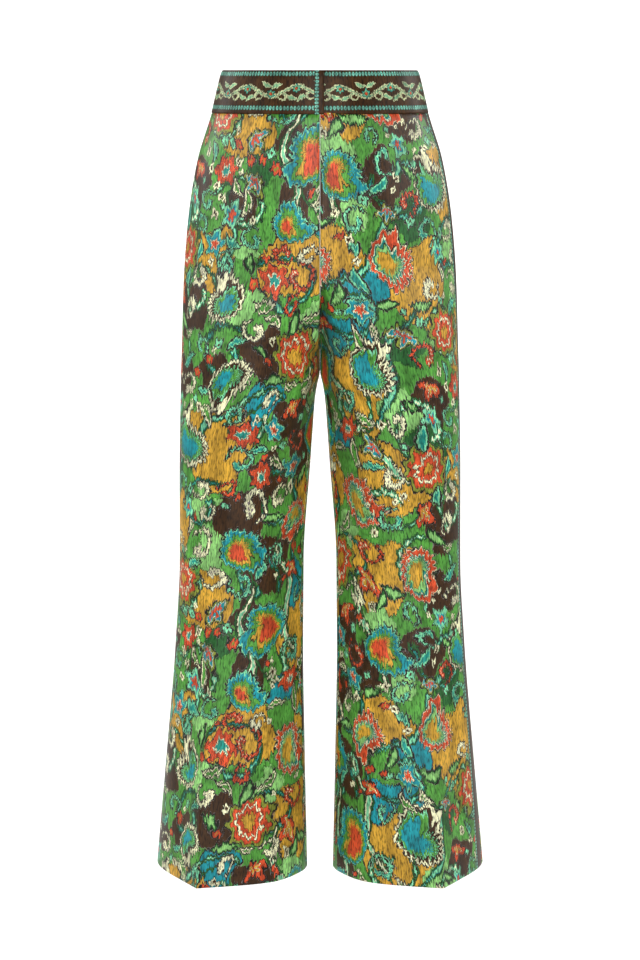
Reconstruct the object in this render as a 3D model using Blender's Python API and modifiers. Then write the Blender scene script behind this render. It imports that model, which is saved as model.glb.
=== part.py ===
"""Flare pants: four leg panels and a waistband, each a thin cloth wall of its own.

The origin is the middle of the waist ring. +Z is up, -Y is the front and +X is the wearer's left.
Sizes are in millimetres and degrees until a mesh is made.
"""

from collections import namedtuple
from math import cos, radians

import bmesh
import bpy
import numpy as np

MM = 0.001

CLOTH_WALL = 1.2
SEAM_GAP = 0.3

BAND_WALL = 2.2
BAND_PROUD = 0.5
BAND_HEIGHT = 53.0
# The panels' wide facets draw in below the band, so this seam starts a little more open.
BAND_SEAM_GAP = 0.6
BAND_COLUMNS = 64
# How far the band's face draws in at its soft top edge, by the distance below that edge.
BAND_EDGE = {"below": [0.0, 1.2, 3.5], "inset": [2.6, 1.0, 0.0]}
BAND_LEVELS = [-26.5, -25.3, -23.0, -8.0, 9.0, 26.5]

# Places from the middle plane, where the band's right end lies over its left one.
OVERLAP_END = 5.0
UNDERLAP_END = -25.0
STEP_IN_START = 42.0
STEP_IN_END = 9.0

CROTCH_DOWN = 322.0
CROTCH_RISE = 105.0
LEG_LENGTH = 992.0
SEAMS_SETTLE = 600.0

# Angles round a leg: 0 is the front crease, 90 the outer side, 180 the back crease.
SIDE = 90.0
BACK = 180.0
OUTSEAM = {"left": 72.0, "right": 80.0}
INSEAM = -97.0

# The side curve and the flats beside a crease blend into each other with this power.
ROUNDING = 6.0

SEAM_EDGE = 5.0
COLUMNS_BY_CREASE = 5
STRAIGHT_ROWS = 7
CROTCH_ANGLES = [74, 60, 46, 32, 18]
LEG_ROWS = 25
FINE_STEPS = 240

# Sections of the left half, down from the waist line. Outer and inner are distances from the
# middle plane, and front, side and back are places along Y. The flats beside a crease stand at
# fold_out and fold_in from the crease's own direction, and toe_out turns the leg outwards.
Section = namedtuple("Section", "down outer inner front side back fold_out fold_in toe_out")
SECTIONS = [
    Section(-26.5, 122.5, 0.15, -92.0, 0.0, 92.0, 89.9, 89.9, 0.0),
    Section(27.0, 135.5, 0.15, -101.0, 1.0, 103.0, 89.9, 89.9, 0.0),
    Section(85.0, 153.5, 0.15, -107.0, 3.0, 117.0, 89.9, 89.9, 0.0),
    Section(160.0, 166.0, 0.15, -110.0, 5.0, 129.0, 89.9, 89.9, 0.0),
    Section(235.0, 172.0, 0.15, -109.0, 5.0, 132.0, 89.9, 89.9, 0.0),
    Section(322.0, 175.0, 0.15, -104.0, 3.0, 119.0, 88.0, 88.0, 0.0),
    Section(350.0, 176.0, 0.5, -102.5, 2.5, 114.0, 87.0, 87.0, 1.5),
    Section(465.0, 178.0, 12.5, -95.0, -1.0, 93.0, 81.0, 82.0, 9.0),
    Section(593.0, 179.0, 21.0, -87.0, -3.0, 79.0, 73.0, 75.0, 16.0),
    Section(700.0, 185.5, 21.5, -93.0, -5.0, 80.0, 65.0, 69.0, 20.0),
    Section(850.0, 200.5, 19.0, -110.0, -8.0, 90.0, 57.0, 63.0, 21.0),
    Section(992.0, 217.0, 14.0, -128.0, -10.0, 98.0, 51.0, 58.0, 20.0),
]

Finish = namedtuple("Finish", "colour roughness")
PRINTED_CLOTH = Finish((0.10, 0.24, 0.09), 0.55)
BAND_CLOTH = Finish((0.09, 0.045, 0.022), 0.6)


def column(name):
    """One column of the table of sections."""
    return np.array([getattr(section, name) for section in SECTIONS])


def smooth_value(down, name):
    """Reads a column at any height, on a curve through its rows that never overshoots them."""
    places, values = column("down"), column(name)
    steps = np.diff(places)
    rises = np.diff(values) / steps
    slopes = np.zeros(len(values))
    slopes[0], slopes[-1] = rises[0], rises[-1]
    for i in range(1, len(values) - 1):
        if rises[i - 1] * rises[i] > 0:
            before = 2 * steps[i] + steps[i - 1]
            after = steps[i] + 2 * steps[i - 1]
            slopes[i] = (before + after) / (before / rises[i - 1] + after / rises[i])
    i = int(np.clip(np.searchsorted(places, down) - 1, 0, len(steps) - 1))
    t = (down - places[i]) / steps[i]
    lean_in, lean_out = slopes[i] * steps[i], slopes[i + 1] * steps[i]
    start = values[i] * (1 + 2 * t) * (1 - t) ** 2 + lean_in * t * (1 - t) ** 2
    end = values[i + 1] * t**2 * (3 - 2 * t) + lean_out * t**2 * (t - 1)
    return start + end


def section_at(down):
    """The section at a height. Above the crotch its inner edge follows the crotch curve."""
    values = {name: smooth_value(down, name) for name in Section._fields[1:]}
    height = min(1.0, max(0.0, (CROTCH_DOWN - down) / CROTCH_RISE))
    if height > 0:
        values["inner"] = -values["outer"] * height / (2 - height)
    return Section(down=down, **values)


def loop_points(section, angles):
    """Points round a half's outline, which is an oval with flats beside its two creases."""
    half_width = (section.outer - section.inner) / 2
    middle = (section.outer + section.inner) / 2
    forward, aside = np.cos(np.radians(angles)), np.sin(np.radians(angles))
    front_depth, back_depth = section.side - section.front, section.back - section.side
    depth = np.where(forward > 0, front_depth, back_depth)
    least = 1e-9
    oval = half_width * np.abs(aside) + least
    fold = np.where(aside > 0, section.fold_out, section.fold_in)
    flat = np.tan(np.radians(fold)) * depth * (1 - np.abs(forward)) + least
    width = (oval**-ROUNDING + flat**-ROUNDING) ** (-1 / ROUNDING)
    x, y = width * np.sign(aside), -depth * forward
    toe = np.radians(section.toe_out)
    turned_x = x * np.cos(toe) - y * np.sin(toe)
    turned_y = x * np.sin(toe) + y * np.cos(toe)
    return np.stack([middle + turned_x, section.side + turned_y], axis=-1)


def along(points):
    """The length from the first point to each."""
    return np.concatenate([[0.0], np.cumsum(np.linalg.norm(np.diff(points, axis=0), axis=1))])


def panel_outline(down, panel, outseam):
    """A panel's outline from its inner seam to its outer seam, and the length at its crease."""
    settled = float(np.clip((down - CROTCH_DOWN) / (SEAMS_SETTLE - CROTCH_DOWN), 0, 1))
    inner_angle = -SIDE + (INSEAM + SIDE) * settled
    outer_angle = SIDE + (outseam - SIDE) * settled
    crease_angle = 0.0
    if panel == "back":
        inner_angle += 2 * BACK
        crease_angle = BACK
    before = np.linspace(inner_angle, crease_angle, FINE_STEPS)
    after = np.linspace(crease_angle, outer_angle, FINE_STEPS)[1:]
    points = loop_points(section_at(down), np.concatenate([before, after]))
    crease = along(points)[FINE_STEPS - 1]
    if down < CROTCH_DOWN:
        first = int(np.argmax(points[:, 0] > SEAM_GAP / 2))
        points = np.vstack([[SEAM_GAP / 2, points[first, 1]], points[first:]])
    return points, crease


def panel_row(down, panel, outseam):
    """One row of a panel's face, with a column on its crease and a narrow one along each seam."""
    points, crease = panel_outline(down, panel, outseam)
    lengths = along(points)
    start, end = SEAM_GAP / 2, lengths[-1] - SEAM_GAP / 2
    if down < CROTCH_DOWN:
        start = 0.0
        leg, leg_crease = panel_outline(CROTCH_DOWN, panel, outseam)
        widening = section_at(down).outer / section_at(CROTCH_DOWN).outer
        crease = lengths[-1] - (along(leg)[-1] - leg_crease) * widening
    before = np.linspace(start + SEAM_EDGE, crease, COLUMNS_BY_CREASE)
    after = np.linspace(crease, end - SEAM_EDGE, COLUMNS_BY_CREASE)[1:]
    wanted = np.concatenate([[start], before, after, [end]])
    row = [np.interp(wanted, lengths, points[:, axis]) for axis in (0, 1)]
    return np.stack(row + [np.full(len(wanted), -down)], axis=-1)


def panel_levels():
    """Heights of the rows from the band's seam to the hem, closest round the crotch curve."""
    top = BAND_HEIGHT / 2 + BAND_SEAM_GAP
    straight = np.linspace(top, CROTCH_DOWN - CROTCH_RISE, STRAIGHT_ROWS)
    curve = [CROTCH_DOWN - CROTCH_RISE * (1 - cos(radians(angle))) for angle in CROTCH_ANGLES]
    legs = np.linspace(CROTCH_DOWN, LEG_LENGTH, LEG_ROWS)
    return np.concatenate([straight, curve, legs])


def band_row(down):
    """One row of the band's face, from its upper end at the front, round the back and under."""
    section = section_at(down)

    def angle_at(x):
        return np.degrees(np.arcsin(x / section.outer))

    angles = np.linspace(angle_at(OVERLAP_END), angle_at(UNDERLAP_END) - 2 * BACK, BAND_COLUMNS + 1)
    points = loop_points(section, angles)
    run = np.gradient(points, axis=0)
    outward = np.stack([run[:, 1], -run[:, 0]], axis=-1)
    outward /= np.linalg.norm(outward, axis=1, keepdims=True)
    outward *= np.sign(np.sum(outward * points, axis=1, keepdims=True))
    from_start = angle_at(STEP_IN_START) - 2 * BACK - angles
    share = np.clip(from_start / (angle_at(STEP_IN_START) - angle_at(STEP_IN_END)), 0, 1)
    step_in = (BAND_WALL + SEAM_GAP) * share * share * (3 - 2 * share)
    inset = np.interp(down + BAND_HEIGHT / 2, BAND_EDGE["below"], BAND_EDGE["inset"])
    points = points + outward * (BAND_PROUD - inset - step_in)[:, None]
    return np.column_stack([points, np.full(len(points), -down)])


def cloth_piece(name, rows, wall, finish, faces_back, folder):
    """A sheet of cloth through rows of places, top to bottom, with its wall on the inside."""
    down_steps, across_steps = len(rows) - 1, len(rows[0]) - 1
    sheet = bmesh.new()
    bmesh.ops.create_grid(sheet, x_segments=across_steps, y_segments=down_steps, size=0.5)
    for vertex in sheet.verts:
        across = round((0.5 + vertex.co.x) * across_steps)
        down = round((0.5 - vertex.co.y) * down_steps)
        vertex.co = rows[down][across] * MM
    if faces_back:
        bmesh.ops.reverse_faces(sheet, faces=sheet.faces)
    mesh = bpy.data.meshes.new(name)
    sheet.to_mesh(mesh)
    sheet.free()
    mesh.shade_smooth()
    mesh.materials.append(cloth_material(name, finish))
    piece = bpy.data.objects.new(name, mesh)
    folder.objects.link(piece)
    solid = piece.modifiers.new("Cloth wall", "SOLIDIFY")
    solid.thickness = wall * MM
    solid.offset = -1.0
    return piece


def cloth_material(name, finish):
    """A matt cloth of one colour."""
    material = bpy.data.materials.new(name)
    material.use_nodes = True
    shader = material.node_tree.nodes["Principled BSDF"]
    shader.inputs["Base Color"].default_value = (*finish.colour, 1.0)
    shader.inputs["Roughness"].default_value = finish.roughness
    shader.inputs["Metallic"].default_value = 0.0
    return material


def leg_panel(panel, side, folder):
    """A front or back panel, from the band's seam to the hem, of the left or the right half."""
    rows = [panel_row(down, panel, OUTSEAM[side]) for down in panel_levels()]
    if side == "right":
        rows = [row * (-1, 1, 1) for row in rows]
    faces_back = (panel == "back") != (side == "right")
    cloth_piece(f"{panel}_{side}", rows, CLOTH_WALL, PRINTED_CLOTH, faces_back, folder)


def waistband(folder):
    """The band is one long strip whose right end lies over its left end at the front."""
    rows = [band_row(down) for down in BAND_LEVELS]
    cloth_piece("waistband", rows, BAND_WALL, BAND_CLOTH, True, folder)


def main():
    for thing in list(bpy.data.objects):
        bpy.data.objects.remove(thing)
    folder = bpy.data.collections.new("flare_pants")
    bpy.context.scene.collection.children.link(folder)
    for side in ("left", "right"):
        for panel in ("front", "back"):
            leg_panel(panel, side, folder)
    waistband(folder)


main()
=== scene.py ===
"""Flare pants filled out with no wearer: four printed panels, a border-printed waistband and a studio.

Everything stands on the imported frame: +Z is up, -Y is the front and +X is the wearer's left.
Sizes in the tables are in millimetres and angles in degrees, until a mesh is made.
"""

from collections import namedtuple
from math import atan, inf, pi, radians, tau

import bmesh
import bpy
import numpy as np
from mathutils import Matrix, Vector


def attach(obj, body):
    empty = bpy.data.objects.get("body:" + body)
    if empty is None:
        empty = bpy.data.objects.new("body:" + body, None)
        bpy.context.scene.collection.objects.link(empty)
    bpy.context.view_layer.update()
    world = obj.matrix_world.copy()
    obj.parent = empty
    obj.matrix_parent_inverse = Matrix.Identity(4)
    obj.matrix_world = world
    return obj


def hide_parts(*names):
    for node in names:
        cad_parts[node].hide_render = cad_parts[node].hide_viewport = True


bl_info = {
    "name": "Flare Pants",
    "version": (1, 0, 0),
    "blender": (4, 5, 0),
    "location": "View3D > Sidebar > Pants",
    "description": "Builds the cloth of a pair of flare pants on their packed frame",
    "category": "Add Mesh",
}

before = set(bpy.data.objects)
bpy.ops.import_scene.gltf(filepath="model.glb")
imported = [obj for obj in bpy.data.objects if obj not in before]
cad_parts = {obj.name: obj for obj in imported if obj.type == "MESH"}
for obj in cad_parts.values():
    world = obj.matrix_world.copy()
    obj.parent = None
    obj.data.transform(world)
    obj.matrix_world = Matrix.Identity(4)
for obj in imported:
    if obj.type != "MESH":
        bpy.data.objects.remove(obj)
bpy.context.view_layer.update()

MM = 0.001
# Keeps lengths that are divided by, or raised to a power, away from nothing.
LEAST = 1e-9

# ---- The cut --------------------------------------------------------------------------------

# Sections of the left half, as in the model the frame was packed from. Three rows more, from 368
# to 420 down, let the thighs part lower down, as soft cloth does, and the inner edges of the two
# rows above them lie closer, so that no light shows over the gap between the legs.
Section = namedtuple("Section", "down outer inner front side back fold_out fold_in toe_out")
SECTIONS = [
    Section(-26.5, 122.5, 0.15, -92, 0, 92, 89.9, 89.9, 0),
    Section(27, 135.5, 0.15, -101, 1, 103, 89.9, 89.9, 0),
    Section(85, 153.5, 0.15, -107, 3, 117, 89.9, 89.9, 0),
    Section(160, 166, 0.15, -110, 5, 129, 89.9, 89.9, 0),
    Section(235, 172, 0.15, -109, 5, 132, 89.9, 89.9, 0),
    Section(322, 175, 0.03, -104, 3, 119, 88, 88, 0),
    Section(350, 176, 0.03, -102.5, 2.5, 114, 87, 87, 1.5),
    Section(368, 176.4, 3.6, -101.4, 2, 111.2, 86.2, 86.3, 2.6),
    Section(387, 176.75, 6.6, -100.2, 1.45, 107.6, 85.3, 85.6, 4),
    Section(420, 177.4, 9.2, -98.1, 0.5, 101.6, 83.5, 84.1, 6.2),
    Section(465, 178, 12.5, -95, -1, 93, 81, 82, 9),
    Section(593, 179, 21, -87, -3, 79, 73, 75, 16),
    Section(700, 185.5, 21.5, -93, -5, 80, 65, 69, 20),
    Section(850, 200.5, 19, -110, -8, 90, 57, 63, 21),
    Section(992, 217, 14, -128, -10, 98, 51, 58, 20),
]

SEAM_GAP = 0.3
BAND_HEIGHT = 53.0
BAND_SEAM_GAP = 0.6
CROTCH_DOWN = 322.0
CROTCH_RISE = 105.0
LEG_LENGTH = 992.0
# Below the crotch the seams turn to where they lie on the legs, and get there at this height.
SEAMS_SETTLE = 600.0
SIDE, BACK = 90.0, 180.0
OUTSEAM = {"left": 72.0, "right": 80.0}
INSEAM = -97.0
ROUNDING = 6.0
FINE_STEPS = 480

COLUMNS_INSIDE, COLUMNS_OUTSIDE = 64, 36
STRAIGHT_ROWS, CURVE_ROWS, LEG_ROWS = 34, 22, 124

# At a seam the cloth turns in: how far along the panel, and how far inside, each column lies.
SEAM_TURN = [(0.0, 3.4), (0.1, 1.7), (0.6, 0.9), (1.5, 0.4), (3.2, 0.0)]
# Rows under the band and round the turned hem: how far down, and how far inside the face.
TOP_TURN = [(7.5, 2.5), (3.0, 2.3), (0.6, 1.3), (0.1, 0.5)]
HEM_TURN = [(-1.2, 0.0), (0.0, 0.55), (0.1, 1.3), (-1.0, 2.0), (-8.0, 2.2), (-20.0, 2.2), (-34.0, 2.3)]

# Places from the middle plane, where the band's right end lies over its left one.
OVERLAP_END, UNDERLAP_END = 5.0, -25.0
STEP_IN_START, STEP_IN_END = 42.0, 9.0
BAND_WALL = 2.2
BAND_PROUD = 0.5
BAND_COLUMNS = 260
# The columns at each end, in degrees from it, and the share of the wall that closes there.
BAND_END = [(0.0, 0.75), (0.125, 0.45), (0.3, 0.22), (0.6, 0.07), (1.1, 0.0)]
BAND_END_REACH = 1.6
# The band's cut edge in section: how far from its middle height, and how far inside its face.
BAND_PROFILE = [
    (-26.5, 1.1), (-26.2, 0.5), (-25.4, 0.1), (-24.0, 0.0), (-20.0, -0.1), (-10.0, -0.2), (0.0, -0.25),
    (10.0, -0.1), (18.0, 0.1), (22.5, 0.5), (24.8, 1.0), (26.0, 1.6), (26.5, 2.4), (26.2, 3.1),
    (25.0, 3.2), (22.0, 2.8), (12.0, 2.4), (0.0, 2.3), (-12.0, 2.3), (-24.0, 2.3), (-26.0, 2.1),
]


def smooth_value(down, name):
    """Reads a column of the sections at any height, on a curve that never overshoots its rows."""
    places, values = ([getattr(section, key) for section in SECTIONS] for key in ("down", name))
    steps = np.diff(places)
    rises = np.diff(values) / steps
    slopes = np.zeros(len(values))
    slopes[0], slopes[-1] = rises[0], rises[-1]
    for i in range(1, len(values) - 1):
        if rises[i - 1] * rises[i] > 0:
            before = 2 * steps[i] + steps[i - 1]
            after = steps[i] + 2 * steps[i - 1]
            slopes[i] = (before + after) / (before / rises[i - 1] + after / rises[i])
    i = int(np.clip(np.searchsorted(places, down) - 1, 0, len(steps) - 1))
    t = (down - places[i]) / steps[i]
    lean_in, lean_out = slopes[i] * steps[i], slopes[i + 1] * steps[i]
    start = values[i] * (1 + 2 * t) * (1 - t) ** 2 + lean_in * t * (1 - t) ** 2
    end = values[i + 1] * t**2 * (3 - 2 * t) + lean_out * t**2 * (t - 1)
    return start + end


def section_at(down):
    """The section at a height. Above the crotch its inner edge follows the crotch curve."""
    values = {name: smooth_value(down, name) for name in Section._fields[1:]}
    height = min(1.0, max(0.0, (CROTCH_DOWN - down) / CROTCH_RISE))
    if height > 0:
        values["inner"] = -values["outer"] * height / (2 - height)
    return Section(down=down, **values)


def loop_points(section, angles):
    """Points round a half's outline, which is an oval with flats beside its two creases."""
    half_width = (section.outer - section.inner) / 2
    middle = (section.outer + section.inner) / 2
    forward, aside = np.cos(np.radians(angles)), np.sin(np.radians(angles))
    depth = np.where(forward > 0, section.side - section.front, section.back - section.side)
    oval = half_width * np.abs(aside) + LEAST
    fold = np.where(aside > 0, section.fold_out, section.fold_in)
    flat = np.tan(np.radians(fold)) * depth * (1 - np.abs(forward)) + LEAST
    width = (oval**-ROUNDING + flat**-ROUNDING) ** (-1 / ROUNDING)
    x, y = width * np.sign(aside), -depth * forward
    toe = np.radians(section.toe_out)
    turned_x = x * np.cos(toe) - y * np.sin(toe)
    turned_y = x * np.sin(toe) + y * np.cos(toe)
    return np.stack([middle + turned_x, section.side + turned_y], axis=-1)


def along(points):
    """The length from the first point to each."""
    return np.concatenate([[0.0], np.cumsum(np.linalg.norm(np.diff(points, axis=0), axis=1))])


def unit(vectors):
    """Vectors brought to a length of 1."""
    return vectors / np.maximum(np.linalg.norm(vectors, axis=-1, keepdims=True), LEAST)


def outward_of(points):
    """Unit directions square to a line of points, to its right."""
    run = np.gradient(points, axis=0)
    return unit(np.stack([run[:, 1], -run[:, 0]], axis=-1))


def panel_outline(down, panel, outseam):
    """A panel's outline from its inner seam to its outer seam, and the length at its crease."""
    settled = float(np.clip((down - CROTCH_DOWN) / (SEAMS_SETTLE - CROTCH_DOWN), 0, 1))
    inner_angle = -SIDE + (INSEAM + SIDE) * settled
    outer_angle = SIDE + (outseam - SIDE) * settled
    crease_angle = 0.0
    if panel == "back":
        inner_angle += 2 * BACK
        crease_angle = BACK
    before = np.linspace(inner_angle, crease_angle, FINE_STEPS)
    after = np.linspace(crease_angle, outer_angle, FINE_STEPS)[1:]
    points = loop_points(section_at(down), np.concatenate([before, after]))
    crease = along(points)[FINE_STEPS - 1]
    if down < CROTCH_DOWN:
        first = int(np.argmax(points[:, 0] > SEAM_GAP / 2))
        points = np.vstack([[SEAM_GAP / 2, points[first, 1]], points[first:]])
    return points, crease


# ---- Soft folds -----------------------------------------------------------------------------

# A fold runs over a panel from one place to another. Each row holds where it starts, across from
# the crease towards the side seam and down from the waist line, where it ends, how wide it is and
# how far it stands out. A depth under 0 is a trough and over 0 a ridge.
FOLDS = {
    "front_left": [
        (-92, 300, -20, 252, 10, -2.4), (-84, 335, -24, 322, 11, -2.0), (-76, 352, -30, 410, 11, -2.0),
        (38, 330, 68, 560, 20, -1.8), (-30, 540, -44, 840, 18, -2.0), (34, 640, 48, 985, 22, -2.4),
        (80, 110, 68, 290, 22, 1.2), (10, 60, -6, 190, 20, 1.0), (-12, 470, 16, 528, 11, 1.2),
    ],
    "front_right": [
        (-88, 290, -22, 236, 10, -2.2), (-84, 318, -30, 306, 11, -2.0), (-70, 346, -24, 416, 12, -1.8),
        (46, 300, 60, 600, 22, -1.8), (-30, 590, -48, 930, 20, -2.2), (36, 700, 46, 990, 20, -2.0),
        (74, 80, 64, 260, 20, 1.2), (-14, 52, 2, 170, 18, 1.0), (8, 500, -18, 548, 12, 1.1),
    ],
    "back_left": [
        (-98, 268, -20, 330, 13, -2.6), (-86, 300, 20, 372, 14, -3.0), (-60, 360, 40, 440, 18, -2.2),
        (40, 400, 52, 760, 26, -2.4), (-40, 520, -56, 940, 26, -2.6), (60, 640, 66, 985, 24, -2.0),
    ],
    "back_right": [
        (-96, 262, -26, 318, 13, -2.4), (-84, 306, 12, 388, 15, -2.8), (-54, 372, 34, 452, 18, -2.0),
        (46, 380, 56, 700, 26, -2.2), (-36, 560, -52, 960, 26, -2.6), (62, 600, 60, 980, 24, -2.2),
    ],
}
# A fold's ends fade over its length, by a sine of this power that starts a little way in.
FADE_START, FADE_POWER = 0.02, 0.7

# Beside the middle seam, and below it along each leg's inner edge, the cloth falls back out of
# the light. Each row holds how far down it is, how far back the cloth falls and over what width.
TUCKS = {
    "front_left": [
        (225, 0, 8), (262, 30, 16), (290, 58, 24), (320, 70, 30), (350, 74, 36), (430, 78, 54),
        (560, 74, 58), (760, 62, 56), (900, 46, 50), (992, 22, 40),
    ],
    "front_right": [
        (225, 0, 10), (285, -12, 24), (315, -34, 30), (345, -24, 28), (375, 16, 28), (420, 60, 46),
        (470, 76, 56), (640, 72, 58), (800, 58, 54), (900, 44, 50), (992, 22, 40),
    ],
    "back_left": [(340, 0, 8), (420, -16, 14), (600, -20, 22), (992, -16, 24)],
    "back_right": [(340, 0, 8), (430, -18, 15), (620, -18, 22), (992, -16, 24)],
}
# The cloth falls back in full where it stands this far out.
TUCK_DEPTH = 80.0
# Over this width beside the middle seams folds and tucks fade out, so that the seams stay closed.
SEAM_HOLD = 2.5


def tucked(places, tucks):
    """Lets the cloth fall back beside its inner edge, most where it stands furthest out."""
    down = -places[..., 2]
    rows, backs, widths = np.transpose(tucks)
    back, width = np.interp(down, rows, backs), np.interp(down, rows, widths)
    share = np.clip((places[..., 0] - places[..., 0].min(axis=1, keepdims=True)) / width, 0, 1)
    proud = np.clip(np.abs(places[..., 1] - places[:, :1, 1]) / TUCK_DEPTH, 0, 1)
    held = np.clip(np.abs(places[..., 1]) / TUCK_DEPTH, 0, 1) * np.clip(places[..., 0] / SEAM_HOLD, 0, 1)
    moved = places.copy()
    moved[..., 1] += back * (1 - share) ** 2 * np.where(down < CROTCH_DOWN, held, proud)
    return moved


def drape(across, down, folds):
    """How far the cloth stands out at each place, from the folds on a panel."""
    out = np.zeros_like(across)
    for start_across, start_down, end_across, end_down, width, depth in folds:
        run = np.array([end_across - start_across, end_down - start_down])
        place = np.stack([across - start_across, down - start_down], axis=-1)
        share = np.clip(place @ run / (run @ run), 0, 1)
        apart = np.linalg.norm(place - share[..., None] * run, axis=-1)
        fade = np.sin(pi * np.clip(share, FADE_START, 1 - FADE_START)) ** FADE_POWER
        out += depth * fade * np.exp(-((apart / width) ** 2))
    return out


# ---- Meshes ---------------------------------------------------------------------------------


def panel_plan():
    """Each row's height, and how far inside the face it lies. Rows lie closest round the crotch."""
    top = BAND_HEIGHT / 2 + BAND_SEAM_GAP
    straight = np.linspace(top, CROTCH_DOWN - CROTCH_RISE, STRAIGHT_ROWS)[:-1]
    angles = np.linspace(pi / 2, 0, CURVE_ROWS)[:-1]
    curve = CROTCH_DOWN - CROTCH_RISE * (1 - np.cos(angles))
    legs = np.linspace(CROTCH_DOWN, LEG_LENGTH, LEG_ROWS)[:-1]
    plan = [(top - rise, inside) for rise, inside in TOP_TURN]
    plan += [(down, 0.0) for down in np.concatenate([straight, curve, legs])]
    return plan + [(LEG_LENGTH + fall, inside) for fall, inside in HEM_TURN]


def panel_rows(panel, outseam):
    """A panel's places, and its cloth's own measures there.

    The measures are across from the crease, down, and across from the side seam.
    """
    leg, leg_crease = panel_outline(CROTCH_DOWN, panel, outseam)
    leg_side = along(leg)[-1] - leg_crease
    near, turned = np.transpose(SEAM_TURN)
    places, measures = [], []
    cloth_down = 0.0
    plan = panel_plan()
    last_down, last_inside = plan[0]
    for down, inside in plan:
        points, crease = panel_outline(down, panel, outseam)
        lengths = along(points)
        start, end = SEAM_GAP / 2, lengths[-1] - SEAM_GAP / 2
        if down < CROTCH_DOWN:
            start = 0.0
            widening = section_at(down).outer / section_at(CROTCH_DOWN).outer
            crease = lengths[-1] - leg_side * widening
        before = np.linspace(start + near[-1], crease, COLUMNS_INSIDE)[1:]
        after = np.linspace(crease, end - near[-1], COLUMNS_OUTSIDE)[1:-1]
        wanted = np.concatenate([start + near, before, after, (end - near)[::-1]])
        depth = np.concatenate([turned, np.zeros(len(before) + len(after)), turned[::-1]]) + inside
        fine = outward_of(points) * (-1 if panel == "back" else 1)
        flat, outward = (
            np.stack([np.interp(wanted, lengths, line[:, axis]) for axis in (0, 1)], axis=-1)
            for line in (points, fine)
        )
        flat -= unit(outward) * depth[:, None]
        if down < CROTCH_DOWN:
            flat[:, 0] = np.maximum(flat[:, 0], SEAM_GAP / 2)
        places.append(np.column_stack([flat, np.full(len(flat), -down)]))
        cloth_down += float(np.hypot(down - last_down, inside - last_inside))
        last_down, last_inside = down, inside
        measures.append(np.column_stack([wanted - crease, np.full(len(flat), cloth_down), end - wanted]))
    return np.array(places), np.array(measures)


def draped_panel(cut):
    """A panel's places and measures, tucked and folded, and on the right half mirrored."""
    panel, side = cut.name.split("_")
    places, measures = panel_rows(panel, OUTSEAM[side])
    places = tucked(places, TUCKS[cut.name])
    folds = drape(measures[..., 0], -places[..., 2], FOLDS[cut.name])
    outward = unit(np.cross(np.gradient(places, axis=1), np.gradient(places, axis=0)))
    outward *= 1 if panel == "back" else -1
    seam_hold = np.clip(places[..., 0] / SEAM_HOLD, 0, 1)
    held = np.where(-places[..., 2] < CROTCH_DOWN, seam_hold, 1.0)
    moved = outward * (folds * held)[..., None]
    moved[: len(TOP_TURN)] = moved[len(TOP_TURN)]
    moved[-len(HEM_TURN) :] = moved[-len(HEM_TURN) - 1]
    mirror = (-1, 1, 1) if side == "right" else (1, 1, 1)
    border_away = 0.0 if cut.name == BORDERED_PANEL else NO_BORDER
    return (places + moved) * mirror, measures * mirror + (cut.across, cut.down, border_away)


def band_places():
    """The band's places and measures, from its upper end at the front round to its lower end."""
    middle = section_at(0.0)

    def angle_at(x):
        return np.degrees(np.arcsin(x / middle.outer))

    first, last = angle_at(OVERLAP_END), angle_at(UNDERLAP_END) - 2 * BACK
    ends, soft = np.transpose(BAND_END)
    between = np.linspace(first - BAND_END_REACH, last + BAND_END_REACH, BAND_COLUMNS)
    spread = np.concatenate([first - ends, between, (last + ends)[::-1]])
    pinch = np.concatenate([soft, np.zeros(BAND_COLUMNS), soft[::-1]])
    step_start, step_end = angle_at(STEP_IN_START), angle_at(STEP_IN_END)
    share = np.clip((step_start - 2 * BACK - spread) / (step_start - step_end), 0, 1)
    step_in = (BAND_WALL + SEAM_GAP) * share**2 * (3 - 2 * share)
    run = along(loop_points(middle, spread))
    places, measures = [], []
    for height, inside in [*BAND_PROFILE, BAND_PROFILE[0]]:
        points = loop_points(section_at(-height), spread)
        outward = outward_of(points)
        outward *= np.sign(np.sum(outward * points, axis=1, keepdims=True))
        drawn = inside + (BAND_WALL / 2 - inside) * pinch
        points = points + outward * (BAND_PROUD - drawn - step_in)[:, None]
        places.append(np.column_stack([points, np.full(len(points), height)]))
        measures.append(np.column_stack([run, np.full(len(run), height), run]))
    return np.array(places), np.array(measures)


def cloth_mesh(name, places, measures, faces_back, blocked=False):
    """A sheet of quads through rows of places, with its cloth's own measures as maps.

    A blocked sheet has each face take the finish of the block of the print that it lies in.
    """
    rows, columns = places.shape[:2]
    sheet = bmesh.new()
    bmesh.ops.create_grid(sheet, x_segments=columns - 1, y_segments=rows - 1, size=0.5)
    cloth_map = sheet.loops.layers.uv.new("Cloth")
    edge_map = sheet.loops.layers.uv.new("Edge")
    spots = {}
    for vertex in sheet.verts:
        across = round((0.5 + vertex.co.x) * (columns - 1))
        down = round((0.5 - vertex.co.y) * (rows - 1))
        vertex.co = places[down][across] * MM
        spots[vertex.index] = measures[down][across] * MM
    for face in sheet.faces:
        for corner in face.loops:
            across, down, from_side = spots[corner.vert.index]
            corner[cloth_map].uv = (across, down)
            corner[edge_map].uv = (from_side, down)
        if blocked:
            middle = np.mean([spots[vertex.index][:2] for vertex in face.verts], axis=0) / MM
            across, down = np.floor(middle % REPEAT / (REPEAT / BLOCKS)).astype(int)
            face.material_index = int(down * BLOCKS[0] + across)
    if faces_back:
        bmesh.ops.reverse_faces(sheet, faces=sheet.faces)
    mesh = bpy.data.meshes.new(name)
    sheet.to_mesh(mesh)
    sheet.free()
    mesh.shade_smooth()
    return mesh


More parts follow.
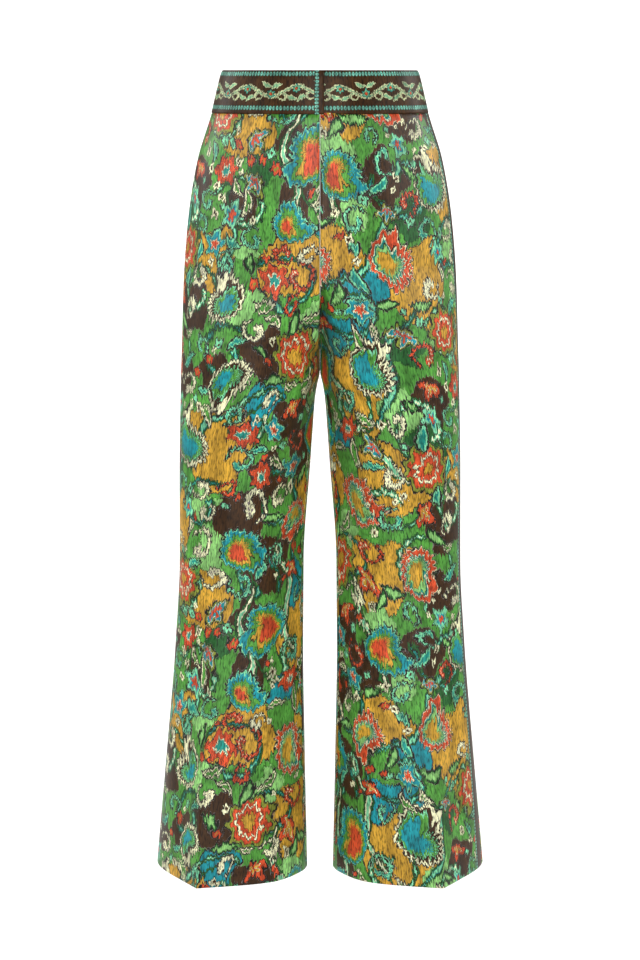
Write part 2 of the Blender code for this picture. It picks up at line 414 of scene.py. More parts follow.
def add_wall(piece, wall, inner_slot):
    """Gives a sheet its wall, on the side away from the eye, with its own finish inside."""
    solid = piece.modifiers.new("Cloth wall", "SOLIDIFY")
    solid.thickness = wall
    solid.offset = -1.0
    solid.material_offset = inner_slot
    solid.use_quality_normals = True


def link(piece):
    """Puts a piece in the scene."""
    bpy.context.scene.collection.objects.link(piece)
    return piece


# ---- Nodes and dyes -------------------------------------------------------------------------

MATH, VECTOR = "Math", "VectorMath"
# The one setting of each kind of node that says what it does.
SETTING = {
    MATH: "operation", VECTOR: "operation", "VectorRotate": "rotation_type", "Mix": "data_type",
    "MapRange": "interpolation_type", "TexNoise": "noise_dimensions", "UVMap": "uv_map",
    "TexWhiteNoise": "noise_dimensions", "Group": "node_tree",
}


def linear(hexed):
    """Turns an sRGB hex value to linear light."""
    parts = [int(hexed[i : i + 2], 16) / 255 for i in (1, 3, 5)]
    return tuple(c / 12.92 if c <= 0.04045 else ((c + 0.055) / 1.055) ** 2.4 for c in parts)


def add_node(tree, kind, inputs=(), does=None):
    """Adds a node with its setting, and sets or links its inputs, given in order or by name.

    A node among the inputs stands for its first output, and None leaves an input as it is.
    """
    new = tree.nodes.new(kind if kind.startswith("NodeGroup") else f"ShaderNode{kind}")
    if does:
        setattr(new, SETTING[kind], does)
    for key, value in inputs.items() if isinstance(inputs, dict) else enumerate(inputs):
        if isinstance(value, bpy.types.Node):
            value = value.outputs[0]
        if isinstance(value, bpy.types.NodeSocket):
            tree.links.new(value, new.inputs[key])
        elif value is not None:
            new.inputs[key].default_value = value
    return new


def start_finish(name, sockets):
    """A material with its sockets set: the material, its tree and its shader."""
    material = bpy.data.materials.new(name)
    material.use_nodes = True
    shader = material.node_tree.nodes["Principled BSDF"]
    for socket, value in sockets.items():
        shader.inputs[socket].default_value = value
    return material, material.node_tree, shader


DYES = {
    "ochre": "#D3A236", "brown": "#432A12", "green": "#57A140", "leaf": "#27642D",
    "lime": "#92D078", "teal": "#1F9486", "turquoise": "#1B97A2", "mint": "#82DBA8",
    "red": "#DB522C", "cream": "#F3F2C6", "olive": "#8C9638", "outline": "#1C1C12",
    "ash": "#857A78", "aqua": "#8FC4AC", "straw": "#CCCF9E", "sage": "#83BB8C",
}
# What shows of the dyes on the wrong side, each from its share of a noise upwards.
WRONG_SIDE_DYES = [
    (0.0, "#7C8A5C"), (0.36, "#8E7A5A"), (0.44, "#8FA56C"), (0.52, "#B79E62"), (0.6, "#7FA58F"),
    (0.68, "#A8A883"),
]


def dye(name):
    """A dye as a colour for a socket."""
    return (*linear(DYES[name]), 1.0)


# ---- Motifs ---------------------------------------------------------------------------------

# Each motif is drawn by the distance from its edge, in millimetres, under 0 inside. The dyes are
# laid in bands from its middle outwards, each up to the distance beside it, from DEEPEST inside
# to FURTHEST outside. In a motif's own frame its edge lies at about EDGE from its middle.
DEEPEST, FURTHEST = 50.0, 4.0
EDGE = 0.77

# Each step holds the names of what it gives, its kind of node, what that does, and its inputs:
# names of what is known by then, or values.
TO_MOTIF = [
    ("turned", "VectorRotate", "Z_AXIS", "Cloth", "Place", None, "Turn"),
    ("apart", VECTOR, "SUBTRACT", "turned", "Place"),
    ("own", VECTOR, "MULTIPLY", "apart", "Shrink"),
    ("x y z", "SeparateXYZ", None, "own"),
    ("theta", MATH, "ARCTAN2", "x", "y"),
    ("xx", MATH, "MULTIPLY", "x", "x"),
    ("rr", MATH, "MULTIPLY_ADD", "y", "y", "xx"),
    ("r_clean", MATH, "SQRT", "rr"),
    ("r", MATH, "MULTIPLY_ADD", "Fray", "Shrink size", "r_clean"),
]
FRAYED_OFF = ("off", MATH, "MULTIPLY_ADD", "Fray", "Shrink size", "off_clean")
ROSETTE = [
    ("spin", MATH, "MULTIPLY_ADD", "r_clean", "swirl", "theta"),
    ("lobes", MATH, "MULTIPLY", "spin", "petals"),
    ("wave", MATH, "COSINE", "lobes"),
    ("spread", MATH, "MULTIPLY_ADD", "wave", "wave_part", "even_part"),
    ("apart_edge", MATH, "MULTIPLY_ADD", "r", "spread", -EDGE),
]
PAISLEY = [
    ("spin", MATH, "MULTIPLY_ADD", "r_clean", "swirl", "theta"),
    ("ahead", MATH, "COSINE", "spin"),
    ("half", MATH, "MULTIPLY_ADD", "ahead", 0.5, 0.5),
    ("sharp", MATH, "POWER", "half", 5.0),
    ("reach", MATH, "MULTIPLY_ADD", "sharp", 0.40, 0.37),
    ("lobes", MATH, "MULTIPLY", "theta", "scallops"),
    ("wave", MATH, "COSINE", "lobes"),
    ("edge", MATH, "MULTIPLY_ADD", "wave", "scallop", "reach"),
    ("apart_edge", MATH, "SUBTRACT", "r", "edge"),
]
LEAF = [
    ("yy", MATH, "MULTIPLY", "y", "y"),
    ("bent", MATH, "MULTIPLY_ADD", "yy", "bend", "x"),
    ("off_clean", MATH, "ABSOLUTE", "bent"),
    FRAYED_OFF,
    ("plump", MATH, "MULTIPLY_ADD", "yy", "taper", "plumpness"),
    ("notch", MATH, "PINGPONG", "y", 0.07),
    ("toothed", MATH, "MULTIPLY_ADD", "notch", "teeth", "plump"),
    ("apart_edge", MATH, "SUBTRACT", "off", "toothed"),
]
STEM = [
    ("phase", MATH, "MULTIPLY", "y", "waves"),
    ("swing", MATH, "SINE", "phase"),
    ("bent", MATH, "MULTIPLY_ADD", "swing", "sway", "x"),
    ("off_clean", MATH, "ABSOLUTE", "bent"),
    FRAYED_OFF,
    ("yy", MATH, "MULTIPLY", "y", "y"),
    ("plump", MATH, "MULTIPLY_ADD", "yy", "taper", "plumpness"),
    ("joints", MATH, "PINGPONG", "y", 0.16),
    ("knotted", MATH, "MULTIPLY_ADD", "joints", "knots", "plump"),
    ("apart_edge", MATH, "SUBTRACT", "off", "knotted"),
]
CURL = [
    ("share", MATH, "MULTIPLY_ADD", "theta", 1 / tau, 0.5),
    ("path", MATH, "MULTIPLY_ADD", "share", 0.46, 0.2),
    ("away", MATH, "SUBTRACT", "r_clean", "path"),
    ("off_clean", MATH, "ABSOLUTE", "away"),
    FRAYED_OFF,
    ("thin", MATH, "MULTIPLY_ADD", "share", "taper", "plumpness"),
    ("head", MATH, "MULTIPLY", "share", 1.5),
    ("plump", MATH, "MINIMUM", "thin", "head"),
    ("lobes", MATH, "MULTIPLY", "theta", "combs"),
    ("wave", MATH, "COSINE", "lobes"),
    ("combed", MATH, "MULTIPLY_ADD", "wave", "comb", "plump"),
    ("apart_edge", MATH, "SUBTRACT", "off", "combed"),
]
TULIP = [
    ("aside", MATH, "ABSOLUTE", "theta"),
    ("lobes", MATH, "MULTIPLY", "aside", "rays"),
    ("wave", MATH, "COSINE", "lobes"),
    ("points", MATH, "MULTIPLY_ADD", "wave", 0.17, 0.6),
    ("cup", "MapRange", "SMOOTHSTEP", "aside", 1.1, 2.4, 1.0, 0.35),
    ("edge", MATH, "MULTIPLY", "points", "cup"),
    ("apart_edge", MATH, "SUBTRACT", "r", "edge"),
]
BEAD = [("apart_edge", MATH, "SUBTRACT", "r", EDGE)]

# The waistband's vine is drawn at this share of its size, and swings once in each repeat.
BORDER_REPEAT = 66.0
VINE_SCALE = 0.01
VINE = [
    ("phase", MATH, "MULTIPLY", "x", tau / (BORDER_REPEAT * VINE_SCALE)),
    ("swing", MATH, "COSINE", "phase"),
    ("bent", MATH, "MULTIPLY_ADD", "swing", 0.062, "y"),
    ("off_clean", MATH, "ABSOLUTE", "bent"),
    FRAYED_OFF,
    ("apart_edge", MATH, "SUBTRACT", "off", 0.023),
]


def rosette(petals, depth, swirl=0.0):
    """What a rosette's steps need: its petals, how deep they part and how they swirl."""
    values = {"petals": petals, "swirl": swirl}
    values["wave_part"], values["even_part"] = -depth / (1 - depth), 1 / (1 - depth)
    return ROSETTE, values


def paisley(swirl, scallops, scallop):
    """What a paisley's steps need: how its tail swirls, and how many scallops of what depth."""
    return PAISLEY, {"swirl": swirl, "scallops": scallops, "scallop": scallop}


def leaf(plumpness, bend, teeth):
    """What a leaf's steps need. It comes to a point at EDGE."""
    return LEAF, {"plumpness": plumpness, "taper": -plumpness / EDGE**2, "bend": bend, "teeth": teeth}


def stem(plumpness, waves, sway, knots):
    """What a stem's steps need. It comes to a point at EDGE."""
    values = {"plumpness": plumpness, "taper": -plumpness / EDGE**2, "waves": waves, "sway": sway}
    return STEM, {**values, "knots": knots}


def curl(plumpness, combs, comb):
    """What a curl's steps need. It is full at its head and thin at its tail."""
    return CURL, {"plumpness": plumpness, "taper": -plumpness, "combs": combs, "comb": comb}


RIM = [("outline", 2.1), ("ash", 2.5)]
THIN_RIM = [("outline", 0.7)]
HALO = [("outline", 1.2), ("leaf", 2.9), ("outline", 3.5)]
MOTIFS = {
    "ochre_ground": (rosette(3, 0.16, 1.2), [("ochre", 0.0), *RIM]),
    "brown_ground": (rosette(4, 0.14, -1.0), [("brown", 0.0), ("ash", 0.8)]),
    "turquoise_ground": (rosette(3, 0.2, -1.6), [("turquoise", 0.0), *RIM]),
    "lime_ground": (rosette(4, 0.2, 1.0), [("lime", 0.0), ("outline", 1.0)]),
    "leaf_ground": (rosette(5, 0.15, 1.0), [("leaf", 0.0), ("outline", 1.0)]),
    "teal_scroll": (curl(0.04, 9, 0.01), [("mint", -1.2), ("teal", 0.0), *HALO]),
    "mint_scroll": (curl(0.045, 13, 0.018), [("cream", -1.6), ("mint", 0.0), *HALO]),
    "mint_stem": (stem(0.034, 4.6, 0.13, 0.1), [("mint", -1.0), ("teal", 0.0), *HALO]),
    "cream_stem": (stem(0.034, 5.4, 0.1, 0.14), [("mint", -1.4), ("cream", 0.0), *HALO]),
    "red_paisley": (paisley(1.9, 15, 0.045), [
        ("ochre", -19.5), ("outline", -18.6), ("lime", -14.0), ("outline", -13.0), ("teal", -10.2),
        ("cream", -8.6), ("outline", -7.6), ("red", -1.0), ("cream", 0.2), *RIM,
    ]),
    "blue_paisley": (paisley(-2.1, 17, 0.035), [
        ("red", -20.0), ("outline", -19.0), ("ochre", -14.2), ("outline", -13.2), ("green", -8.0),
        ("outline", -7.0), ("turquoise", -2.2), ("mint", -0.6), *RIM,
    ]),
    "cream_paisley": (paisley(2.2, 19, 0.04), [
        ("turquoise", -17.0), ("outline", -16.0), ("green", -11.0), ("mint", -9.4), ("outline", -8.4),
        ("brown", -4.2), ("cream", -0.4), *RIM,
    ]),
    "red_flower": (rosette(6, 0.2, 0.4), [
        ("teal", -12.4), ("cream", -10.6), ("outline", -9.8), ("red", -4.0), ("brown", -3.2),
        ("red", 0.0), *RIM,
    ]),
    "blue_flower": (rosette(5, 0.26), [
        ("red", -12.0), ("cream", -10.0), ("outline", -9.2), ("turquoise", -2.6), ("mint", -0.4), *RIM,
    ]),
    "mint_flower": (rosette(5, 0.28), [
        ("red", -11.6), ("outline", -10.6), ("turquoise", -7.0), ("mint", -0.4), *RIM,
    ]),
    "great_flower": (rosette(9, 0.13), [
        ("ochre", -27.0), ("brown", -25.6), ("red", -19.0), ("outline", -18.0), ("cream", -15.0),
        ("brown", -13.8), ("red", -7.4), ("outline", -6.4), ("olive", -1.0), *RIM,
    ]),
    "red_tulip": ((TULIP, {"rays": 5.0}), [
        ("ochre", -8.8), ("cream", -7.4), ("outline", -6.6), ("red", -0.6), *RIM,
    ]),
    "blue_tulip": ((TULIP, {"rays": 5.6}), [
        ("red", -9.6), ("turquoise", -4.8), ("cream", -3.4), ("outline", -2.8), ("olive", -0.6), *RIM,
    ]),
    "cream_curl": (curl(0.2, 13, 0.045), [("ash", -3.2), ("cream", 0.0), *RIM]),
    "mint_curl": (curl(0.13, 11, 0.03), [("teal", -1.6), ("mint", 0.0), *RIM]),
    "red_curl": (curl(0.14, 13, 0.045), [("cream", -2.8), ("red", 0.0), *RIM]),
    "mint_leaf": (leaf(0.27, 0.35, 0.3), [("teal", -2.4), ("mint", -0.4), *RIM]),
    "cream_leaf": (leaf(0.23, -0.4, 0.35), [("green", -2.6), ("outline", -1.9), ("cream", -0.2), *RIM]),
    "green_leaf": (leaf(0.3, 0.3, 0.25), [("lime", -2.2), ("leaf", -0.4), *RIM]),
    "red_dot": (rosette(5, 0.12), [("olive", -3.6), ("red", 0.0), *RIM]),
    "mint_dot": (rosette(4, 0.16), [("brown", -3.6), ("mint", 0.0), *RIM]),
    "cream_dot": (rosette(4, 0.2), [("brown", -2.8), ("cream", 0.0), ("outline", 1.0)]),
}
BORDER_MOTIFS = {
    "border_vine": ((VINE, {}), [("sage", -1.6), ("straw", 0.0), *THIN_RIM]),
    "border_leaf": (leaf(0.26, 0.3, 0.2), [("sage", -1.0), ("straw", 0.0), *THIN_RIM]),
    "border_curl": (curl(0.2, 11, 0.02), [("sage", -1.4), ("straw", 0.0), *THIN_RIM]),
    "border_rose": (rosette(6, 0.2), [
        ("red", -3.4), ("outline", -2.6), ("sage", -1.2), ("teal", 0.0), *THIN_RIM,
    ]),
    "border_bead": ((BEAD, {}), [("teal", -1.5), ("aqua", -0.5), ("teal", 0.1)]),
}

MOTIF_INPUTS = {
    "Cloth": "Vector", "Fray": "Float", "Ground": "Color", "Place": "Vector", "Turn": "Float",
    "Shrink": "Vector", "Shrink size": "Float", "Grow": "Float",
}


def make_bands(ramp, bands):
    """Lays dyes on a ramp by the distance from a motif's edge, and nothing beyond the last."""
    ramp.interpolation = "CONSTANT"
    stops = ramp.elements
    start = 0.0
    for i, (name, until) in enumerate(bands):
        stop = stops[0] if i == 0 else stops.new(start)
        stop.position, stop.color = start, dye(name)
        start = (DEEPEST + until) / (DEEPEST + FURTHEST)
    stops[-1].position, stops[-1].color = start, (*dye(bands[-1][0])[:3], 0.0)


def motif_group(name, shape, bands):
    """A motif as a node group, which lays its dyes over the colour that is under it."""
    steps, own = shape
    tree = bpy.data.node_groups.new(name, "ShaderNodeTree")
    for title, kind in MOTIF_INPUTS.items():
        tree.interface.new_socket(title, in_out="INPUT", socket_type=f"NodeSocket{kind}")
    tree.interface.new_socket("Colour", in_out="OUTPUT", socket_type="NodeSocketColor")
    given = add_node(tree, "NodeGroupInput")
    values = {**own, **{title: given.outputs[title] for title in MOTIF_INPUTS}}
    for gives, kind, does, *takes in TO_MOTIF + steps:
        inputs = [values[taken] if isinstance(taken, str) else taken for taken in takes]
        new = add_node(tree, kind, inputs, does)
        values.update(zip(gives.split(), new.outputs))
    share = DEEPEST / (DEEPEST + FURTHEST)
    place = add_node(tree, MATH, [values["apart_edge"], values["Grow"], share], "MULTIPLY_ADD")
    dyes = add_node(tree, "ValToRGB", [place])
    make_bands(dyes.color_ramp, bands)
    layers = {"Factor": dyes.outputs["Alpha"], 6: values["Ground"], 7: dyes.outputs["Color"]}
    laid = add_node(tree, "Mix", layers, "RGBA")
    add_node(tree, "NodeGroupOutput", {"Colour": laid.outputs[2]})
    return tree


# A motif on the cloth: its middle across and down, its size and turn, and a squeeze that narrows
# it sideways, and mirrors it where it is under 0.
Spot = namedtuple("Spot", "motif u v size turn squeeze")


def lay_motif(tree, group, spot, cloth, fray, ground):
    """Lays one motif over what is printed so far."""
    shrink = EDGE / spot.size
    inputs = {
        "Cloth": cloth,
        "Fray": fray,
        "Ground": ground,
        "Place": (spot.u, spot.v, 0.0),
        "Turn": radians(spot.turn),
        "Shrink": (spot.squeeze * shrink, shrink, 0.0),
        "Shrink size": shrink,
        "Grow": 1 / shrink / (DEEPEST + FURTHEST),
    }
    return add_node(tree, "Group", inputs, group).outputs["Colour"]


def repeated(tree, cloth, middle, repeat):
    """Brings every place on the cloth to the one like it in the repeat round a middle."""
    apart = add_node(tree, VECTOR, [cloth, (*middle, 0.0)], "SUBTRACT")
    half = (repeat[0] / 2, repeat[1] / 2, 1.0)
    return add_node(tree, VECTOR, [apart, half, tuple(-part for part in half)], "WRAP")


def lay_repeated(tree, group, spot, repeat, cloth, fray, ground):
    """Lays one motif in every repeat of the cloth."""
    near = repeated(tree, cloth, (spot.u, spot.v), repeat)
    return lay_motif(tree, group, spot._replace(u=0.0, v=0.0), near, fray, ground)


# ---- The print ------------------------------------------------------------------------------

# The print repeats over this width and length of cloth, and is worked out in blocks of it.
REPEAT = np.array([336.0, 590.0])
BLOCKS = np.array([4, 6])
PRINT_SEED = 11

# How the print is filled: the motifs of a kind take turns, and are set down in this order where
# there is room for them among those on the same plane, each of a size between the two. Each tries
# a number of places, and stays away where the best lacks more than a share of its size.
Growth = namedtuple("Growth", "motifs count least most room turns plane")
TRIES, CROWDING = 60, 0.22
GREEN_GROUNDS = ["lime_ground", "turquoise_ground", "lime_ground", "leaf_ground"]
CURLS = ["cream_curl", "mint_curl", "cream_curl", "mint_curl", "red_curl"]
GROWTH = [
    Growth(["ochre_ground"], 9, 42, 66, 0.68, 180, "ground"),
    Growth(["brown_ground"], 14, 24, 44, 0.68, 180, "ground"),
    Growth(GREEN_GROUNDS, 18, 18, 34, 0.72, 180, "ground"),
    Growth(["mint_scroll", "teal_scroll"], 16, 38, 60, 0.46, 180, "stem"),
    Growth(["mint_stem", "cream_stem"], 8, 52, 86, 0.4, 60, "stem"),
    Growth(["great_flower"], 3, 32, 38, 1, 180, "motif"),
    Growth(["red_paisley", "cream_paisley", "blue_paisley"], 12, 36, 52, 0.8, 120, "motif"),
    Growth(["red_flower", "blue_flower", "mint_flower"], 13, 15, 21, 0.92, 180, "motif"),
    Growth(["red_tulip", "blue_tulip"], 10, 17, 23, 0.88, 70, "motif"),
    Growth(CURLS, 40, 14, 24, 0.7, 180, "motif"),
    Growth(["mint_leaf", "cream_leaf", "green_leaf"], 44, 10, 17, 0.7, 180, "motif"),
    Growth(["cream_dot", "mint_dot", "red_dot", "cream_dot"], 80, 3.4, 6.2, 0.9, 180, "motif"),
]


def print_layout():
    """Sets every motif of the print down in turn, each where those before it leave it room."""
    chance = np.random.default_rng(PRINT_SEED)
    spots, planes = [], {}
    for growth in GROWTH:
        taken = planes.setdefault(growth.plane, [])
        for i in range(growth.count):
            size = chance.uniform(growth.least, growth.most)
            best, best_room = None, -inf
            for place in chance.uniform(0, 1, (TRIES, 2)) * REPEAT:
                room = inf
                for other, radius in taken:
                    gap = np.abs((place - other + REPEAT / 2) % REPEAT - REPEAT / 2)
                    room = min(room, float(np.hypot(*gap)) - (radius + size) * growth.room)
                if room > best_room:
                    best, best_room = place, room
            turn = chance.uniform(-growth.turns, growth.turns)
            squeeze = chance.choice([-1.0, 1.0])
            if best_room > -CROWDING * size:
                taken.append((best, size))
                spots.append(Spot(growth.motifs[i % len(growth.motifs)], *best, size, turn, squeeze))
    return spots


def block_spots(spots, middle):
    """The motifs that reach a block of the print, each at its place from the block's middle."""
    found = []
    for spot in spots:
        apart = (np.array([spot.u, spot.v]) - middle + REPEAT / 2) % REPEAT - REPEAT / 2
        beyond = np.maximum(np.abs(apart) - REPEAT / BLOCKS / 2, 0.0)
        if float(np.hypot(*beyond)) < spot.size + WANDER_REACH:
            found.append(spot._replace(u=float(apart[0]), v=float(apart[1])))
    return found


# Beads and a plain brown edge beside one side seam.
BORDERED_PANEL = "front_left"
NO_BORDER = 1000.0
SIDE_BORDER_WIDTH = 26.0
SIDE_BEAD_PITCH = 4.6
SIDE_BEAD = Spot("side_bead", SIDE_BORDER_WIDTH - 2.2, 0.0, 1.9, 0.0, 1.0)

# The waistband's border: its vine, leaves, curls and rosettes lie at places along the repeat and
# above the band's middle height, between two rows of beads, and its upper end is plain but for
# one row of beads across it. WHOLE is longer than any piece, so what repeats over it is alone.
WHOLE = 4000.0
BEAD_PITCH = 4.3
PLAIN_END = 12.0
BORDER = [
    Spot("border_vine", 0.0, 1.3, EDGE / VINE_SCALE, 0.0, 1.0),
    Spot("border_leaf", 6.5, 8.6, 7.6, 66.0, 1.0),
    Spot("border_leaf", 26.5, -6.4, 7.6, 114.0, -1.0),
    Spot("border_leaf", 39.5, -6.4, 7.6, 66.0, 1.0),
    Spot("border_leaf", 59.5, 8.6, 7.6, 114.0, -1.0),
    Spot("border_curl", 16.0, -3.6, 8.4, 150.0, 1.0),
    Spot("border_curl", 50.0, -3.6, 8.4, -150.0, -1.0),
    Spot("border_rose", 0.0, -1.6, 5.2, 0.0, 1.0),
    Spot("border_rose", 33.0, 4.2, 5.2, 0.0, 1.0),
]
BEAD_ROWS = [
    Spot("border_bead", 0.0, 22.0, 2.6, 0.0, 1.55),
    Spot("border_bead", 0.0, -19.0, 2.6, 0.0, 1.55),
]
END_BEAD = Spot("border_bead", 8.8, 0.0, 2.4, 90.0, 1.4)


# ---- Finishes -------------------------------------------------------------------------------

# The cloth is slub satin: thick and thin yarn, dyed in the warp and woven with long floats. To
# the eye that is a low, soft gloss with no hard highlight, motifs whose edges run out in feathers
# along the warp, and short light and dark strokes where the yarn swells. Its yarns lie about
# 0.27 mm apart, finer than the render can show, so they shift in groups of five.
YARN_PITCH = 0.27
THREAD_GROUP = 5 * YARN_PITCH
# How far, in millimetres, an edge wanders and frays, and how far outside its own outline a motif
# can come to lie by that.
WANDER, FRAY = 4.4, 1.3
WANDER_REACH = 18.0
# How far the dyes shift, wander and fray on the waistband's small, crisp border and in its beads.
BAND_FEATHER = (1.5, 1.1, 1.1)
BEAD_FEATHER = (0.3, 0.2, 0.3)
# The width and length of the patches by which groups of threads drift together, of those at an
# edge, and of the two that a motif wanders by, and how many times WANDER the first of them moves.
DRIFT, GRAIN = (2.941, 33.33), (1.613, 3.571)
DRIFT_SHARE = 1.9
WIDE_WANDER, WIDE_SHARE, CLOSE_WANDER = 58.0, 5.0, 11.0
WRONG_SIDE_PATCH = 46.0

# Unevenness of the yarn: the width and length of its patches, the detail and the part of the
# noise that counts, and how dark and light it makes the dyes. First the slubs, which are really
# about 0.4 mm wide and are drawn four times as wide to show, then cloudy wear, and last the short
# strokes of single swollen yarns, also drawn about four times as wide.
Streak = namedtuple("Streak", "size detail low high dark light")
STREAKS = [
    Streak((1.818, 83.33), 2.0, 0.3, 0.7, 0.8, 1.2),
    Streak((16.0, 34.0), 3.0, 0.3, 0.7, 0.66, 1.24),
    Streak((2.0, 7.692), 2.0, 0.34, 0.52, 0.46, 1.12),
]
SLUB_HEIGHT = 0.2
FIBRE_IOR = 1.5
# Panels keep some gloss. The interfaced waistband is pressed flat and has less.
PANEL_SPECULAR, BAND_SPECULAR = 0.32, 0.14
SHEEN_ROUGHNESS = 0.45
# Paint and paper with no gloss.
MATT_ROUGHNESS = 0.9


def patches(tree, cloth, size, detail):
    """Cloudy noise, whose patches have a width and a length in millimetres."""
    place = add_node(tree, VECTOR, [cloth, (1 / size[0], 1 / size[1], 0.0)], "MULTIPLY")
    return add_node(tree, "TexNoise", {"Vector": place, "Scale": 1.0, "Detail": detail}, "2D")


def feathered(tree, cloth, jag, wander, fray):
    """Shifts each group of threads along its own length, as when a warp is dyed before weaving."""
    split = add_node(tree, "SeparateXYZ", [cloth])
    thread = add_node(tree, MATH, [split, THREAD_GROUP], "DIVIDE")
    group = add_node(tree, MATH, [thread], "FLOOR")
    chance = add_node(tree, "TexWhiteNoise", {"W": group}, "1D").outputs["Value"]
    step = add_node(tree, MATH, [chance, jag, -jag / 2], "MULTIPLY_ADD")
    drift = patches(tree, cloth, DRIFT, 1.0)
    drift_reach = DRIFT_SHARE * jag
    lift = add_node(tree, MATH, [drift, drift_reach, -drift_reach / 2], "MULTIPLY_ADD")
    total = add_node(tree, MATH, [step, lift], "ADD")
    shift = add_node(tree, "CombineXYZ", {"Y": total})
    moved = add_node(tree, VECTOR, [cloth, shift], "ADD")
    for size, reach in ((WIDE_WANDER, WIDE_SHARE * wander), (CLOSE_WANDER, wander)):
        noise = patches(tree, cloth, (size, size), 1.0)
        centred = add_node(tree, VECTOR, [noise.outputs["Color"], (0.5, 0.5, 0.5)], "SUBTRACT")
        moved = add_node(tree, VECTOR, [centred, (reach, reach, 0.0), moved], "MULTIPLY_ADD")
    grain = patches(tree, cloth, GRAIN, 2.0)
    return moved, add_node(tree, MATH, [grain, 2 * fray, -fray], "MULTIPLY_ADD")


def threads(tree, colour, cloth, shader, settings):
    """Slubbed warp threads: strokes and clouds of light and dark, and a fine ribbed relief."""
    noises = [patches(tree, cloth, streak.size, streak.detail) for streak in STREAKS]
    tone = 1.0
    for noise, (_, _, *tones) in zip(noises, STREAKS):
        tone = add_node(tree, MATH, [add_node(tree, "MapRange", [noise, *tones]), tone], "MULTIPLY")
    toned = add_node(tree, VECTOR, {0: colour, "Scale": tone}, "SCALE")
    tree.links.new(toned.outputs[0], shader.inputs["Base Color"])
    relief = {"Strength": settings.relief, "Distance": SLUB_HEIGHT * MM, "Height": noises[0]}
    tree.links.new(add_node(tree, "Bump", relief).outputs[0], shader.inputs["Normal"])


def cloth_place(tree, map_name):
    """A place on the cloth in millimetres, from one of its maps."""
    source = add_node(tree, "UVMap", does=map_name)
    return add_node(tree, VECTOR, {0: source, "Scale": 1 / MM}, "SCALE")


def start_cloth(name, settings, specular=PANEL_SPECULAR):
    """Slub satin with no colour yet: its material, tree and shader."""
    return start_finish(name, {
        "Roughness": settings.roughness,
        "IOR": FIBRE_IOR,
        "Specular IOR Level": specular,
        "Sheen Weight": settings.sheen,
        "Sheen Roughness": SHEEN_ROUGHNESS,
    })


def side_border(tree, bead, colour):
    """A narrow brown edge and a row of beads beside the left side seam."""
    edge = cloth_place(tree, "Edge")
    within = add_node(tree, MATH, [add_node(tree, "SeparateXYZ", [edge]), SIDE_BORDER_WIDTH], "LESS_THAN")
    mixed = add_node(tree, "Mix", {"Factor": within, 6: colour, 7: dye("brown")}, "RGBA")
    return lay_repeated(tree, bead, SIDE_BEAD, (WHOLE, SIDE_BEAD_PITCH), edge, 0.0, mixed.outputs[2])


def printed_satin(settings):
    """Printed slub satin: feathered motifs on green, a material for each block of the repeat.

    A block works out only the motifs that reach it, and all the blocks meet with no seam.
    """
    spots = print_layout()
    groups = {name: motif_group(name, *parts) for name, parts in MOTIFS.items()}
    bead = motif_group("side_bead", *BORDER_MOTIFS["border_bead"])
    made = []
    for down in range(BLOCKS[1]):
        for across in range(BLOCKS[0]):
            material, tree, shader = start_cloth(f"printed_slub_satin_{across}_{down}", settings)
            place = cloth_place(tree, "Cloth")
            cloth, fray = feathered(tree, place, settings.jag, WANDER, FRAY)
            middle = (np.array([across, down]) + 0.5) * REPEAT / BLOCKS
            near = repeated(tree, cloth, middle, REPEAT)
            colour = dye("green")
            for spot in block_spots(spots, middle):
                colour = lay_motif(tree, groups[spot.motif], spot, near, fray, colour)
            threads(tree, side_border(tree, bead, colour), place, shader, settings)
            made.append(material)
    return made


def wrong_side(settings):
    """The wrong side of the satin: the dyes come through pale and blurred, in ragged patches."""
    material, tree, shader = start_cloth("printed_slub_satin_wrong_side", settings)
    place = cloth_place(tree, "Cloth")
    cloth, _ = feathered(tree, place, settings.jag, WANDER, FRAY)
    dyes = add_node(tree, "ValToRGB", [patches(tree, cloth, (WRONG_SIDE_PATCH,) * 2, 2.0)])
    dyes.color_ramp.interpolation = "CONSTANT"
    stops = dyes.color_ramp.elements
    for i, (start, hexed) in enumerate(WRONG_SIDE_DYES):
        stop = stops[i] if i < 2 else stops.new(start)
        stop.position, stop.color = start, (*linear(hexed), 1.0)
    threads(tree, dyes, place, shader, settings)
    return material


def border_satin(settings):
    """The waistband's satin: on brown, a vine between beads, printed crisper than the panels."""
    material, tree, shader = start_cloth("border_printed_satin", settings, BAND_SPECULAR)
    place = cloth_place(tree, "Cloth")
    cloth, fray = feathered(tree, place, *BAND_FEATHER)
    beaded, bead_fray = feathered(tree, place, *BEAD_FEATHER)
    groups = {name: motif_group(name, *parts) for name, parts in BORDER_MOTIFS.items()}
    bead = groups["border_bead"]
    colour = dye("brown")
    for spot in BORDER:
        colour = lay_repeated(tree, groups[spot.motif], spot, (BORDER_REPEAT, WHOLE), cloth, fray, colour)
    for spot in BEAD_ROWS:
        colour = lay_repeated(tree, bead, spot, (BEAD_PITCH, WHOLE), beaded, bead_fray, colour)
    plain = add_node(tree, MATH, [add_node(tree, "SeparateXYZ", [place]), PLAIN_END], "LESS_THAN")
    mixed = add_node(tree, "Mix", {"Factor": plain, 6: colour, 7: dye("brown")}, "RGBA").outputs[2]
    colour = lay_repeated(tree, bead, END_BEAD, (WHOLE, BEAD_PITCH), beaded, bead_fray, mixed)
    threads(tree, colour, place, shader, settings)
    return material


# ---- Settings and operators -----------------------------------------------------------------


